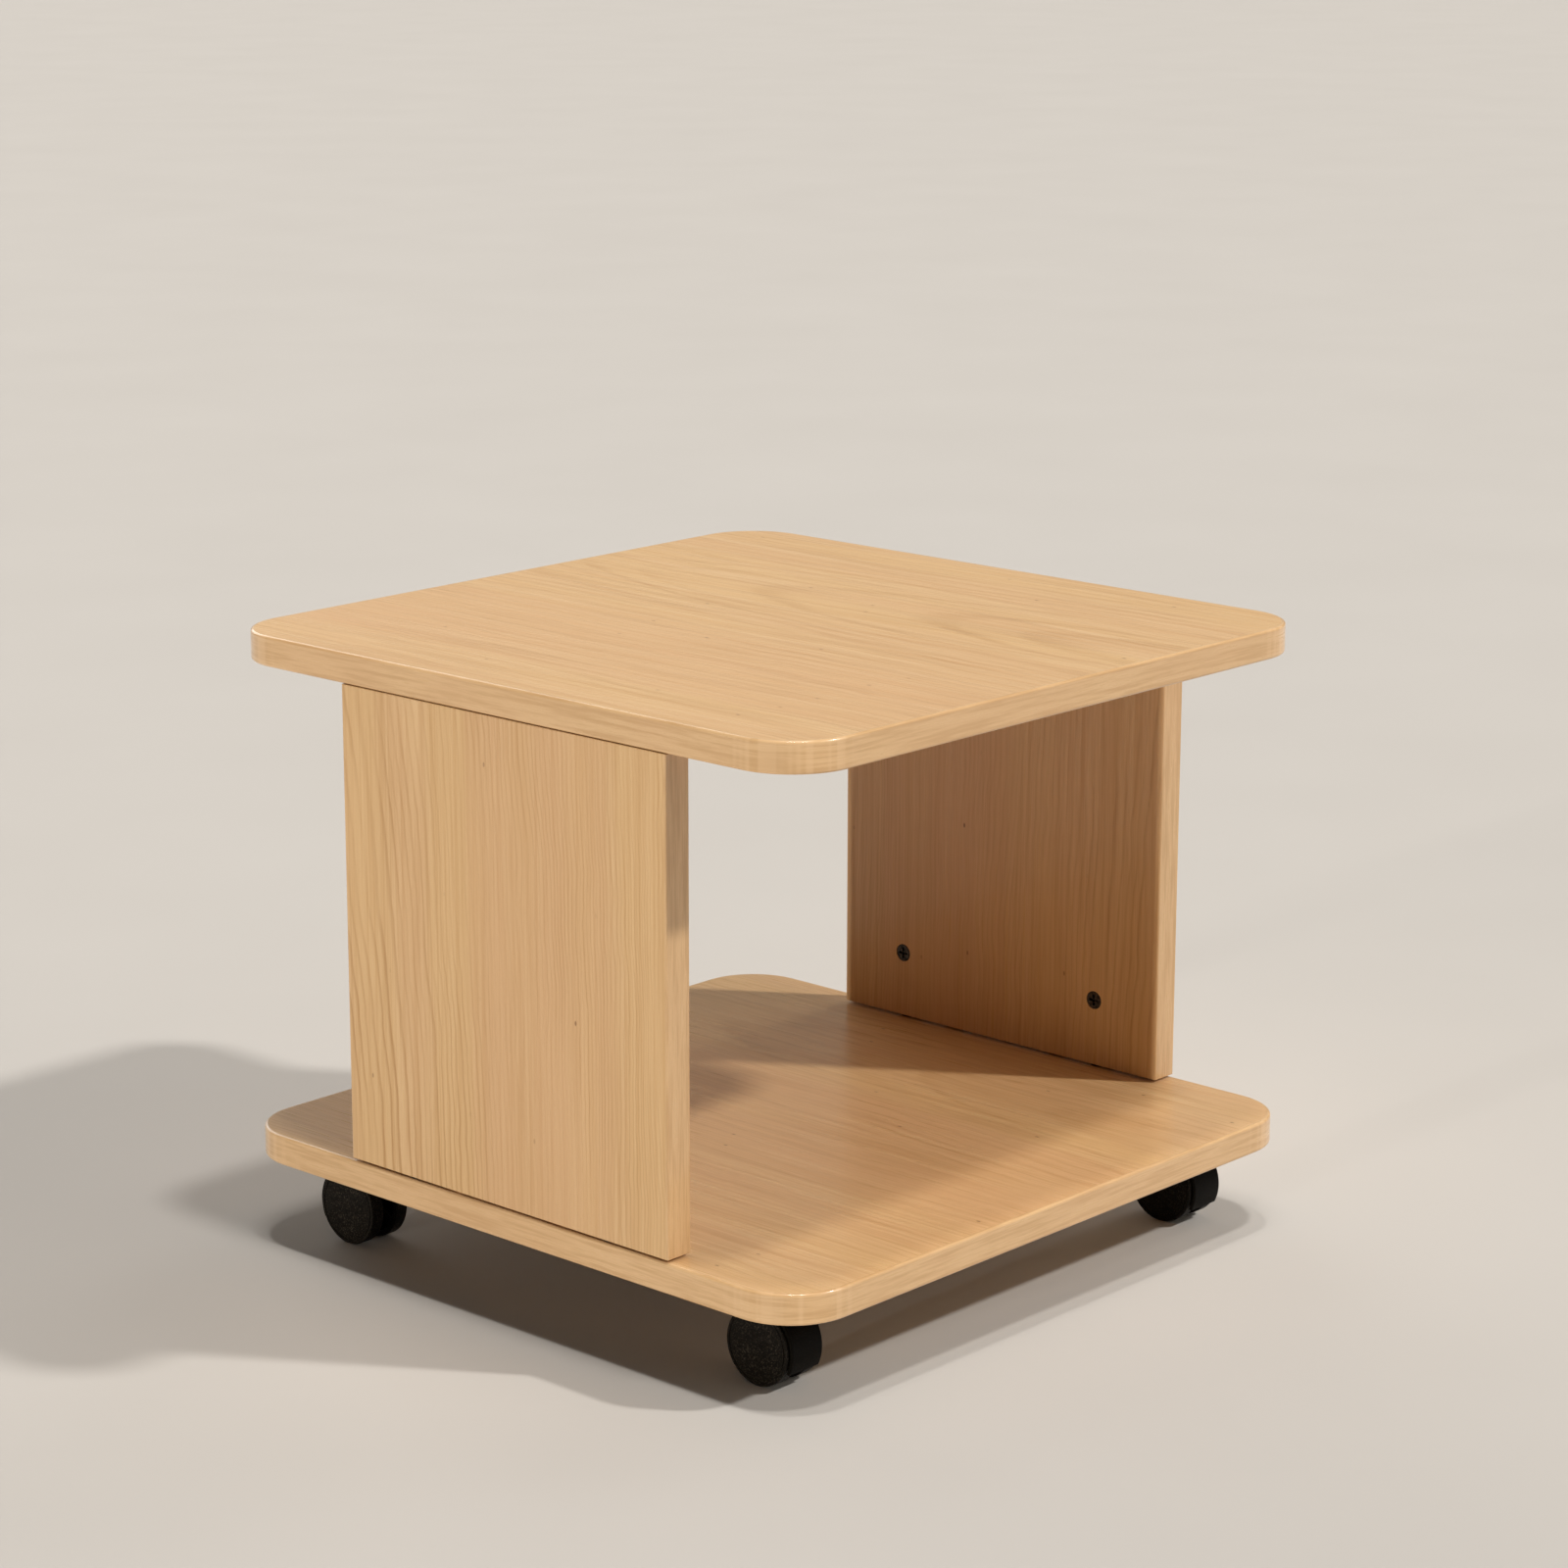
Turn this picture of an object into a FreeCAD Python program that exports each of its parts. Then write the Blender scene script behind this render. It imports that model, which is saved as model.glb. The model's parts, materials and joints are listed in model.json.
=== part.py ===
import FreeCAD, Part
import math
import os
from FreeCAD import Vector

# Mobile printer stand: two square boards held apart by two side panels, on four swivel casters.
# Millimetres. The origin is on the floor under the middle of the stand; +Z is up, -Y is the
# front and +X is the right-hand side seen from the front.

# ---- Driving dimensions: the carcass --------------------------------------------------------
BOARD_WIDTH = 400.0
BOARD_DEPTH = 400.0
BOARD_THICKNESS = 16.0
BOARD_CORNER_RADIUS = 35.0
BOARD_BAND_THICKNESS = 2.0
BOARD_BAND_ROUNDING = 1.5
CASTER_HEIGHT = 46.0
PANEL_HEIGHT = 252.0
PANEL_THICKNESS = 16.0
PANEL_FRONT_SETBACK = 83.0
PANEL_BACK_SETBACK = 91.0
PANEL_BAND_THICKNESS = 1.0
PANEL_BAND_ROUNDING = 0.8
PANEL_END_CHAMFER = 0.3
JOINT_GAPS = {"bottom": 1.4, "top": 0.2}

# ---- Driving dimensions: the knock-down fittings --------------------------------------------
CAM_RADIUS = 5.0
CAM_LENGTH = 10.8
CAM_HOLE_RADIUS = 5.1
CAM_HOLE_DEPTH = 11.2
CAM_FROM_PANEL_EDGE = 43.6
CAM_FROM_JOINT = 38.4
CAM_CAVITY_RADIUS = 3.7
CAM_CAVITY_HALF_LENGTH = 2.8
CAM_SLOT_HALF_WIDTH = 1.8
CAM_CROSS_LENGTH = 6.4
CAM_CROSS_WIDTH = 1.3
CAM_CROSS_DEPTH = 1.6
CAM_RIM_CHAMFER = 0.4
BOLT_THREAD_RADIUS = 3.0
BOLT_SHANK_RADIUS = 2.5
BOLT_NECK_RADIUS = 1.5
BOLT_NECK_LENGTH = 4.0
BOLT_HEAD_RADIUS = 2.5
BOLT_HEAD_LENGTH = 3.2
BOLT_HEAD_CHAMFER = 0.8
BOLT_HEAD_PAST_CAM_AXIS = 0.8
BOLT_TIP_CHAMFER = 0.5
BOLT_TIP_CLEARANCE = 1.0
BOLT_HOLE_RADIUS = 2.7
INSERT_RADIUS = 5.0
INSERT_LENGTH = 12.0
INSERT_HOLE_CLEARANCE = 0.05
INSERT_BORE_RADIUS = 3.05
INSERT_COLLAR_RADIUS = 6.0
INSERT_TIP_CHAMFER = 1.0
DOWEL_RADIUS = 4.0
DOWEL_LENGTH = 30.0
DOWEL_DEPTH_IN_BOARD = 12.0
DOWEL_END_CHAMFER = 0.8
DOWEL_HOLE_RADIUS = 4.05
DOWEL_HOLE_SPARE_DEPTH = 0.5
DOWEL_FROM_CAM = 32.0

# ---- Driving dimensions: one twin-wheel caster ----------------------------------------------
CASTER_SIDE_INSET = 40.0
CASTER_FRONT_INSET = 37.0
CASTER_BACK_INSET = 41.0
CASTER_TRAIL = 13.5
PLATE_SIZE = 38.0
PLATE_THICKNESS = 2.0
PLATE_CORNER_RADIUS = 5.0
SCREW_SPACING = 28.0
SCREW_RADIUS = 1.7
SCREW_LENGTH = 12.0
SCREW_POINT_LENGTH = 2.5
SCREW_HEAD_RADIUS = 3.4
SCREW_HEAD_HEIGHT = 1.7
SCREW_HOLE_RADIUS = 2.0
SCREW_SINK_RADIUS = 3.7
SCREW_CROSS_LENGTH = 3.6
SCREW_CROSS_WIDTH = 0.8
SCREW_CROSS_DEPTH = 1.0
PILOT_RADIUS = 1.75
PILOT_DEPTH = 11.0
KINGPIN_RADIUS = 2.75
KINGPIN_HEAD_RADIUS = 4.5
KINGPIN_LENGTH = 24.0
KINGPIN_TIP_CHAMFER = 0.6
KINGPIN_GROOVE_RADIUS = 2.27
KINGPIN_GROOVE_WIDTH = 1.0
KINGPIN_GROOVE_DEPTH_BELOW_BOARD = 10.0
KINGPIN_BORE_RADIUS = 2.81
KINGPIN_BORE_DEPTH = 25.0
GRIP_RING_INNER_RADIUS = 2.33
GRIP_RING_OUTER_RADIUS = 3.1
GRIP_RING_THICKNESS = 0.8
GRIP_RING_SPLIT = 1.2
GRIP_RING_SEAT_RADIUS = 3.15
WASHER_INNER_RADIUS = 2.85
WASHER_OUTER_RADIUS = 6.5
WASHER_THICKNESS = 1.2
WASHER_GAP = 0.1
WHEEL_RADIUS = 20.0
WHEEL_OUTER_FACE = 12.8
WHEEL_INNER_FACE = 4.6
WHEEL_RIM_THICKNESS = 3.0
WHEEL_DISC_THICKNESS = 1.6
WHEEL_SHOULDER_RADIUS = 0.7
WHEEL_INNER_EDGE_RADIUS = 0.7
WHEEL_DISC_CROWN = 0.5
WHEEL_GROOVE_RADIUS = 17.9
WHEEL_GROOVE_WIDTH = 0.5
WHEEL_GROOVE_DEPTH = 0.4
WHEEL_HUB_RADIUS = 5.0
WHEEL_HUB_FACE = 4.2
WHEEL_BORE_RADIUS = 2.56
WHEEL_RIB_COUNT = 6
WHEEL_RIB_THICKNESS = 1.2
WHEEL_RIB_INNER_FACE = 7.0
SNAP_POSITION = 9.5
SNAP_WIDTH = 0.8
SNAP_RIB_RADIUS = 2.30
SNAP_GROOVE_RADIUS = 2.24
SNAP_GROOVE_WIDTH = 1.1
AXLE_RADIUS = 2.5
AXLE_HALF_LENGTH = 10.9
AXLE_END_CHAMFER = 0.5
AXLE_BORE_CLEARANCE = 0.02
WEB_HALF_WIDTH = 4.0
HOOD_HALF_WIDTH = 11.0
HOOD_OUTER_RADIUS = 22.2
HOOD_INNER_RADIUS = 20.7
HOOD_EDGE_RADIUS = 1.0
HOOD_FRONT_ANGLE = -27.0
HOOD_REAR_ANGLE = 140.0
AXLE_BOSS_RADIUS = 6.0
TOP_BOSS_RADIUS = 7.5

# ---- Places worked out from the driving dimensions ------------------------------------------
TOP_OF_BOTTOM_BOARD = CASTER_HEIGHT + BOARD_THICKNESS
UNDER_TOP_BOARD = TOP_OF_BOTTOM_BOARD + PANEL_HEIGHT
PANEL_FRONT = -BOARD_DEPTH / 2 + PANEL_FRONT_SETBACK
PANEL_BACK = BOARD_DEPTH / 2 - PANEL_BACK_SETBACK
PANEL_INNER_FACE = BOARD_WIDTH / 2 - PANEL_THICKNESS
PANEL_MIDDLE = BOARD_WIDTH / 2 - PANEL_THICKNESS / 2
CAM_ROWS = (PANEL_FRONT + CAM_FROM_PANEL_EDGE, PANEL_BACK - CAM_FROM_PANEL_EDGE)
DOWEL_ROWS = (CAM_ROWS[0] + DOWEL_FROM_CAM, CAM_ROWS[1] - DOWEL_FROM_CAM)
CASTER_X = BOARD_WIDTH / 2 - CASTER_SIDE_INSET
CASTER_Y = {-1: CASTER_FRONT_INSET - BOARD_DEPTH / 2, 1: BOARD_DEPTH / 2 - CASTER_BACK_INSET}
AXLE_DROP = CASTER_HEIGHT - WHEEL_RADIUS
BOSS_TOP = -(PLATE_THICKNESS + WASHER_GAP + WASHER_THICKNESS)

PANEL_LOW_END = TOP_OF_BOTTOM_BOARD + JOINT_GAPS["bottom"]
PANEL_HIGH_END = UNDER_TOP_BOARD - JOINT_GAPS["top"]

# A joint is where a panel end meets a board: its height, the way from there into the panel, and
# the gap that the collars of the bolt inserts keep between the two.
JOINTS = (
    (TOP_OF_BOTTOM_BOARD, 1, JOINT_GAPS["bottom"]),
    (UNDER_TOP_BOARD, -1, JOINT_GAPS["top"]),
)
SIDES = (("left", -1), ("right", 1))
CORNERS = (
    ("front_left", -1, -1),
    ("front_right", 1, -1),
    ("back_left", -1, 1),
    ("back_right", 1, 1),
)

X_AXIS = Vector(1, 0, 0)
Y_AXIS = Vector(0, 1, 0)
Z_AXIS = Vector(0, 0, 1)
ORIGIN = Vector(0, 0, 0)


# ---- Plain helpers --------------------------------------------------------------------------
def block(x_range, y_range, z_range):
    """A box between two values on each axis, given in either order."""
    x0, x1 = sorted(x_range)
    y0, y1 = sorted(y_range)
    z0, z1 = sorted(z_range)
    return Part.makeBox(x1 - x0, y1 - y0, z1 - z0, Vector(x0, y0, z0))


def rod(radius, start, end):
    """A cylinder from one point to another."""
    run = end.sub(start)
    return Part.makeCylinder(radius, run.Length, start, run)


def upright_rod(radius, x, y, z_start, z_end):
    """A vertical cylinder between two heights."""
    return rod(radius, Vector(x, y, z_start), Vector(x, y, z_end))


def rounded_slab(width, depth, corner_radius, z0, z1):
    """A flat slab centred on Z with rounded corners in plan."""
    slab = block((-width / 2, width / 2), (-depth / 2, depth / 2), (z0, z1))
    upright = [edge for edge in slab.Edges if abs(edge.tangentAt(edge.FirstParameter).z) > 0.9]
    return slab.makeFillet(corner_radius, upright)


def edges_at_height(shape, heights):
    """The edges that lie wholly at one of the given heights."""
    chosen = []
    for edge in shape.Edges:
        box = edge.BoundBox
        for height in heights:
            if abs(box.ZMin - height) < 0.001 and abs(box.ZMax - height) < 0.001:
                chosen.append(edge)
    return chosen


def turned_about_x(outline):
    """A full turn of a closed outline, given as (x, radius) points, about the X axis."""
    points = [Vector(x, 0, radius) for x, radius in outline]
    wire = Part.makePolygon(points + points[:1])
    return Part.Face(wire).revolve(ORIGIN, X_AXIS, 360)


def turned_about_z(outline):
    """A full turn of a closed outline, given as (radius, z) points, about the Z axis."""
    points = [Vector(radius, 0, z) for radius, z in outline]
    wire = Part.makePolygon(points + points[:1])
    return Part.Face(wire).revolve(ORIGIN, Z_AXIS, 360)


def one_solid(shape):
    """The single solid that a boolean left, with its leftover seams removed."""
    merged = shape.removeSplitter()
    if len(merged.Solids) != 1:
        raise ValueError("expected one solid, found %d" % len(merged.Solids))
    return merged.Solids[0]


def export(name, shape):
    """Write one node."""
    shape.exportStep("parts/" + name + ".step")


# ---- Boards and panels ----------------------------------------------------------------------
def board_blank(z0):
    """A whole board with its rounded edge, before it is parted into core and edge band."""
    z1 = z0 + BOARD_THICKNESS
    slab = rounded_slab(BOARD_WIDTH, BOARD_DEPTH, BOARD_CORNER_RADIUS, z0, z1)
    return slab.makeFillet(BOARD_BAND_ROUNDING, edges_at_height(slab, (z0, z1)))


def board_core_region(z0):
    """The part of a board inside its edge band."""
    width = BOARD_WIDTH - 2 * BOARD_BAND_THICKNESS
    depth = BOARD_DEPTH - 2 * BOARD_BAND_THICKNESS
    radius = BOARD_CORNER_RADIUS - BOARD_BAND_THICKNESS
    return rounded_slab(width, depth, radius, z0, z0 + BOARD_THICKNESS)


def board_fitting_holes(joint_height, into_panel):
    """The holes for bolt inserts and dowels in the board face that the panels meet."""
    holes = []
    insert_end = joint_height - into_panel * (INSERT_LENGTH + INSERT_HOLE_CLEARANCE)
    dowel_end = joint_height - into_panel * (DOWEL_DEPTH_IN_BOARD + DOWEL_HOLE_SPARE_DEPTH)
    for _, side in SIDES:
        x = side * PANEL_MIDDLE
        for y in CAM_ROWS:
            radius = INSERT_RADIUS + INSERT_HOLE_CLEARANCE
            holes.append(upright_rod(radius, x, y, joint_height, insert_end))
        for y in DOWEL_ROWS:
            holes.append(upright_rod(DOWEL_HOLE_RADIUS, x, y, joint_height, dowel_end))
    return holes


def plate_hole_places():
    """Where the four screws of one caster plate are, about its kingpin."""
    half = SCREW_SPACING / 2
    return [(x, y) for x in (-half, half) for y in (-half, half)]


def pilot_holes():
    """The pilot holes for every caster screw in the underside of the bottom board."""
    holes = []
    for _, side, end in CORNERS:
        for dx, dy in plate_hole_places():
            x = side * CASTER_X + dx
            y = CASTER_Y[end] + dy
            holes.append(upright_rod(PILOT_RADIUS, x, y, CASTER_HEIGHT, CASTER_HEIGHT + PILOT_DEPTH))
    return holes


def make_board(z0, holes):
    """A board's core, with its blind holes."""
    core = board_blank(z0).common(board_core_region(z0))
    return one_solid(core.cut(holes))


def make_board_edge_band(z0):
    """The band glued all round a board's edge."""
    return one_solid(board_blank(z0).cut(board_core_region(z0)))


def panel_blank(side):
    """A whole side panel, before it is parted into core and edge bands."""
    blank = block(
        (side * PANEL_INNER_FACE, side * BOARD_WIDTH / 2),
        (PANEL_FRONT, PANEL_BACK),
        (PANEL_LOW_END, PANEL_HIGH_END),
    )
    upright = [edge for edge in blank.Edges if abs(edge.tangentAt(edge.FirstParameter).z) > 0.9]
    rounded = blank.makeFillet(PANEL_BAND_ROUNDING, upright)
    ends = edges_at_height(rounded, (PANEL_LOW_END, PANEL_HIGH_END))
    return rounded.makeChamfer(PANEL_END_CHAMFER, ends)


def panel_core_region():
    """The depth of a panel between its two edge bands, for either side."""
    return block(
        (-BOARD_WIDTH, BOARD_WIDTH),
        (PANEL_FRONT + PANEL_BAND_THICKNESS, PANEL_BACK - PANEL_BAND_THICKNESS),
        (0, 2 * UNDER_TOP_BOARD),
    )


def panel_fitting_holes(side):
    """The cam, bolt and dowel holes of one panel, at both of its ends."""
    holes = []
    x = side * PANEL_MIDDLE
    inner_face = side * PANEL_INNER_FACE
    for joint_height, into_panel, gap in JOINTS:
        cam_height = joint_height + into_panel * CAM_FROM_JOINT
        dowel_depth = gap + DOWEL_LENGTH - DOWEL_DEPTH_IN_BOARD + DOWEL_HOLE_SPARE_DEPTH
        for y in CAM_ROWS:
            mouth = Vector(inner_face, y, cam_height)
            bottom = Vector(inner_face + side * CAM_HOLE_DEPTH, y, cam_height)
            holes.append(rod(CAM_HOLE_RADIUS, mouth, bottom))
            holes.append(upright_rod(BOLT_HOLE_RADIUS, x, y, joint_height, cam_height))
        for y in DOWEL_ROWS:
            dowel_end = joint_height + into_panel * dowel_depth
            holes.append(upright_rod(DOWEL_HOLE_RADIUS, x, y, joint_height, dowel_end))
    return holes


def make_panel(side):
    """A side panel's core, with its fitting holes."""
    core = panel_blank(side).common(panel_core_region())
    return one_solid(core.cut(panel_fitting_holes(side)))


def make_panel_edge_bands(side):
    """The two bands on a panel's front and back edges."""
    return Part.makeCompound(panel_blank(side).cut(panel_core_region()).Solids)


# ---- Knock-down fittings --------------------------------------------------------------------
def cross_recess(length, width, depth):
    """The two crossed slots of a screwdriver recess, in the YZ plane, going into +X."""
    half = length / 2
    upright = block((0, depth), (-width / 2, width / 2), (-half, half))
    level = block((0, depth), (-half, half), (-width / 2, width / 2))
    return upright.fuse(level)


def cam_lock():
    """A cam at the origin, its face in the YZ plane, going into +X, its bolt coming from -Z."""
    body = turned_about_x([
        (0, 0),
        (0, CAM_RADIUS - CAM_RIM_CHAMFER),
        (CAM_RIM_CHAMFER, CAM_RADIUS),
        (CAM_LENGTH, CAM_RADIUS),
        (CAM_LENGTH, 0),
    ])
    middle = PANEL_THICKNESS / 2
    cavity_start = Vector(middle - CAM_CAVITY_HALF_LENGTH, 0, 0)
    cavity_end = Vector(middle + CAM_CAVITY_HALF_LENGTH, 0, 0)
    cavity = rod(CAM_CAVITY_RADIUS, cavity_start, cavity_end)
    slot = block(
        (middle - CAM_SLOT_HALF_WIDTH, middle + CAM_SLOT_HALF_WIDTH),
        (-CAM_HOLE_RADIUS, CAM_HOLE_RADIUS),
        (-CAM_HOLE_RADIUS, 0),
    )
    cross = cross_recess(CAM_CROSS_LENGTH, CAM_CROSS_WIDTH, CAM_CROSS_DEPTH)
    return one_solid(body.cut([cavity, slot, cross]))


def cam_bolt(gap):
    """A connecting bolt through a joint at the origin, its head up in the cam."""
    head_end = CAM_FROM_JOINT + BOLT_HEAD_PAST_CAM_AXIS
    head_start = head_end - BOLT_HEAD_LENGTH
    neck_start = head_start - BOLT_NECK_LENGTH
    tip = BOLT_TIP_CLEARANCE - INSERT_LENGTH
    return turned_about_z([
        (0, tip),
        (BOLT_THREAD_RADIUS - BOLT_TIP_CHAMFER, tip),
        (BOLT_THREAD_RADIUS, tip + BOLT_TIP_CHAMFER),
        (BOLT_THREAD_RADIUS, gap),
        (BOLT_SHANK_RADIUS, gap),
        (BOLT_SHANK_RADIUS, neck_start),
        (BOLT_NECK_RADIUS, neck_start),
        (BOLT_NECK_RADIUS, head_start),
        (BOLT_HEAD_RADIUS, head_start),
        (BOLT_HEAD_RADIUS, head_end - BOLT_HEAD_CHAMFER),
        (BOLT_HEAD_RADIUS - BOLT_HEAD_CHAMFER, head_end),
        (0, head_end),
    ])


def bolt_insert(gap):
    """A nylon sleeve sunk in a board at the origin, with a collar as thick as the joint's gap."""
    return turned_about_z([
        (INSERT_BORE_RADIUS, gap),
        (INSERT_COLLAR_RADIUS, gap),
        (INSERT_COLLAR_RADIUS, 0),
        (INSERT_RADIUS, 0),
        (INSERT_RADIUS, INSERT_TIP_CHAMFER - INSERT_LENGTH),
        (INSERT_RADIUS - INSERT_TIP_CHAMFER, -INSERT_LENGTH),
        (INSERT_BORE_RADIUS, -INSERT_LENGTH),
    ])


def dowel(gap):
    """A wooden dowel across a joint at the origin, more of it above the gap than below."""
    low = gap - DOWEL_DEPTH_IN_BOARD
    high = low + DOWEL_LENGTH
    return turned_about_z([
        (0, low),
        (DOWEL_RADIUS - DOWEL_END_CHAMFER, low),
        (DOWEL_RADIUS, low + DOWEL_END_CHAMFER),
        (DOWEL_RADIUS, high - DOWEL_END_CHAMFER),
        (DOWEL_RADIUS - DOWEL_END_CHAMFER, high),
        (0, high),
    ])


def at_joint(shape, x, y, joint_height, into_panel):
    """Put a fitting that was made for a bottom joint at any joint."""
    placed = shape.copy()
    if into_panel < 0:
        placed.rotate(ORIGIN, X_AXIS, 180)
    placed.translate(Vector(x, y, joint_height))
    return placed


def fittings(make, side, rows):
    """One fitting at every joint of a panel, in each of its rows; make is given the joint's gap."""
    copies = []
    for joint_height, into_panel, gap in JOINTS:
        for y in rows:
            copies.append(at_joint(make(gap), side * PANEL_MIDDLE, y, joint_height, into_panel))
    return Part.makeCompound(copies)


def cam_locks(side):
    """The four cams of one panel, sunk in its inner face."""
    copies = []
    for joint_height, into_panel, _ in JOINTS:
        for y in CAM_ROWS:
            cam = cam_lock()
            if side < 0:
                cam.rotate(ORIGIN, Z_AXIS, 180)
            if into_panel < 0:
                cam.rotate(ORIGIN, X_AXIS, 180)
            height = joint_height + into_panel * CAM_FROM_JOINT
            cam.translate(Vector(side * PANEL_INNER_FACE, y, height))
            copies.append(cam)
    return Part.makeCompound(copies)


# ---- Caster: made with the kingpin on Z, the board's underside at z = 0, trailing to +Y -----
def caster_plate():
    """The mounting plate, countersunk below for its screws and above for the kingpin's rivet."""
    plate = rounded_slab(PLATE_SIZE, PLATE_SIZE, PLATE_CORNER_RADIUS, -PLATE_THICKNESS, 0)
    cuts = []
    for x, y in plate_hole_places():
        low = Vector(x, y, -PLATE_THICKNESS)
        cuts.append(upright_rod(SCREW_HOLE_RADIUS, x, y, -PLATE_THICKNESS, 0))
        sink_depth = SCREW_SINK_RADIUS - SCREW_HOLE_RADIUS
        cuts.append(Part.makeCone(SCREW_SINK_RADIUS, SCREW_HOLE_RADIUS, sink_depth, low, Z_AXIS))
    bottom = Vector(0, 0, -PLATE_THICKNESS)
    cuts.append(Part.makeCone(KINGPIN_RADIUS, KINGPIN_HEAD_RADIUS, PLATE_THICKNESS, bottom, Z_AXIS))
    return one_solid(plate.cut(cuts))


def plate_screw():
    """A countersunk wood screw pointing up, its head flush with the underside of the plate."""
    head = -PLATE_THICKNESS
    tip = head + SCREW_LENGTH
    body = turned_about_z([
        (0, head),
        (SCREW_HEAD_RADIUS, head),
        (SCREW_RADIUS, head + SCREW_HEAD_HEIGHT),
        (SCREW_RADIUS, tip - SCREW_POINT_LENGTH),
        (0, tip),
    ])
    cross = cross_recess(SCREW_CROSS_LENGTH, SCREW_CROSS_WIDTH, SCREW_CROSS_DEPTH)
    cross.rotate(ORIGIN, Y_AXIS, -90)
    cross.translate(Vector(0, 0, head))
    return one_solid(body.cut(cross))


def plate_screws():
    """The four screws of one plate."""
    copies = []
    for x, y in plate_hole_places():
        screw = plate_screw()
        screw.translate(Vector(x, y, 0))
        copies.append(screw)
    return Part.makeCompound(copies)


def kingpin():
    """The swivel pin, riveted into the plate, with a groove for the grip ring."""
    groove_low = -KINGPIN_GROOVE_DEPTH_BELOW_BOARD - KINGPIN_GROOVE_WIDTH / 2
    groove_high = groove_low + KINGPIN_GROOVE_WIDTH
    return turned_about_z([
        (0, 0),
        (KINGPIN_HEAD_RADIUS, 0),
        (KINGPIN_RADIUS, -PLATE_THICKNESS),
        (KINGPIN_RADIUS, groove_high),
        (KINGPIN_GROOVE_RADIUS, groove_high),
        (KINGPIN_GROOVE_RADIUS, groove_low),
        (KINGPIN_RADIUS, groove_low),
        (KINGPIN_RADIUS, -KINGPIN_LENGTH + KINGPIN_TIP_CHAMFER),
        (KINGPIN_RADIUS - KINGPIN_TIP_CHAMFER, -KINGPIN_LENGTH),
        (0, -KINGPIN_LENGTH),
    ])


def grip_ring():
    """The split ring that keeps the kingpin in its socket."""
    low = -KINGPIN_GROOVE_DEPTH_BELOW_BOARD - GRIP_RING_THICKNESS / 2
    high = low + GRIP_RING_THICKNESS
    ring = upright_rod(GRIP_RING_OUTER_RADIUS, 0, 0, low, high)
    hole = upright_rod(GRIP_RING_INNER_RADIUS, 0, 0, low, high)
    split = block(
        (-GRIP_RING_SPLIT / 2, GRIP_RING_SPLIT / 2),
        (0, 2 * GRIP_RING_OUTER_RADIUS),
        (low, high),
    )
    return one_solid(ring.cut([hole, split]))


def thrust_washer():
    """The washer that the housing turns on, under the plate."""
    low = BOSS_TOP
    high = BOSS_TOP + WASHER_THICKNESS
    washer = upright_rod(WASHER_OUTER_RADIUS, 0, 0, low, high)
    return one_solid(washer.cut(upright_rod(WASHER_INNER_RADIUS, 0, 0, low, high)))


def at_axle(shape):
    """Move a shape made about the X axis to the axle."""
    shape.translate(Vector(0, CASTER_TRAIL, -AXLE_DROP))
    return shape


def sector_about_x(outline, start_angle, end_angle):
    """Sweep a face outline of edges in the XZ plane about X; 0 degrees is the front, 90 the top."""
    face = Part.Face(Part.Wire(outline))
    sector = face.revolve(ORIGIN, X_AXIS, start_angle - end_angle)
    sector.rotate(ORIGIN, X_AXIS, 90 - start_angle)
    return sector


def hood_outline():
    """The hood's cross-section: a strip with both outer corners rounded."""
    half = HOOD_HALF_WIDTH
    r = HOOD_EDGE_RADIUS
    outer = HOOD_OUTER_RADIUS
    inner = HOOD_INNER_RADIUS
    bend = r * (1 - math.sqrt(0.5))
    p0 = Vector(-half, 0, inner)
    p1 = Vector(-half, 0, outer - r)
    p2 = Vector(-half + r, 0, outer)
    p3 = Vector(half - r, 0, outer)
    p4 = Vector(half, 0, outer - r)
    p5 = Vector(half, 0, inner)
    left_mid = Vector(-half + bend, 0, outer - bend)
    right_mid = Vector(half - bend, 0, outer - bend)
    return [
        Part.LineSegment(p0, p1).toShape(),
        Part.Arc(p1, left_mid, p2).toShape(),
        Part.LineSegment(p2, p3).toShape(),
        Part.Arc(p3, right_mid, p4).toShape(),
        Part.LineSegment(p4, p5).toShape(),
        Part.LineSegment(p5, p0).toShape(),
    ]


def web_outline():
    """The web's cross-section, from the axle out into the hood."""
    reach = HOOD_INNER_RADIUS + (HOOD_OUTER_RADIUS - HOOD_INNER_RADIUS) / 2
    corners = [
        Vector(-WEB_HALF_WIDTH, 0, 0),
        Vector(-WEB_HALF_WIDTH, 0, reach),
        Vector(WEB_HALF_WIDTH, 0, reach),
        Vector(WEB_HALF_WIDTH, 0, 0),
    ]
    return Part.makePolygon(corners + corners[:1]).Edges


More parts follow.
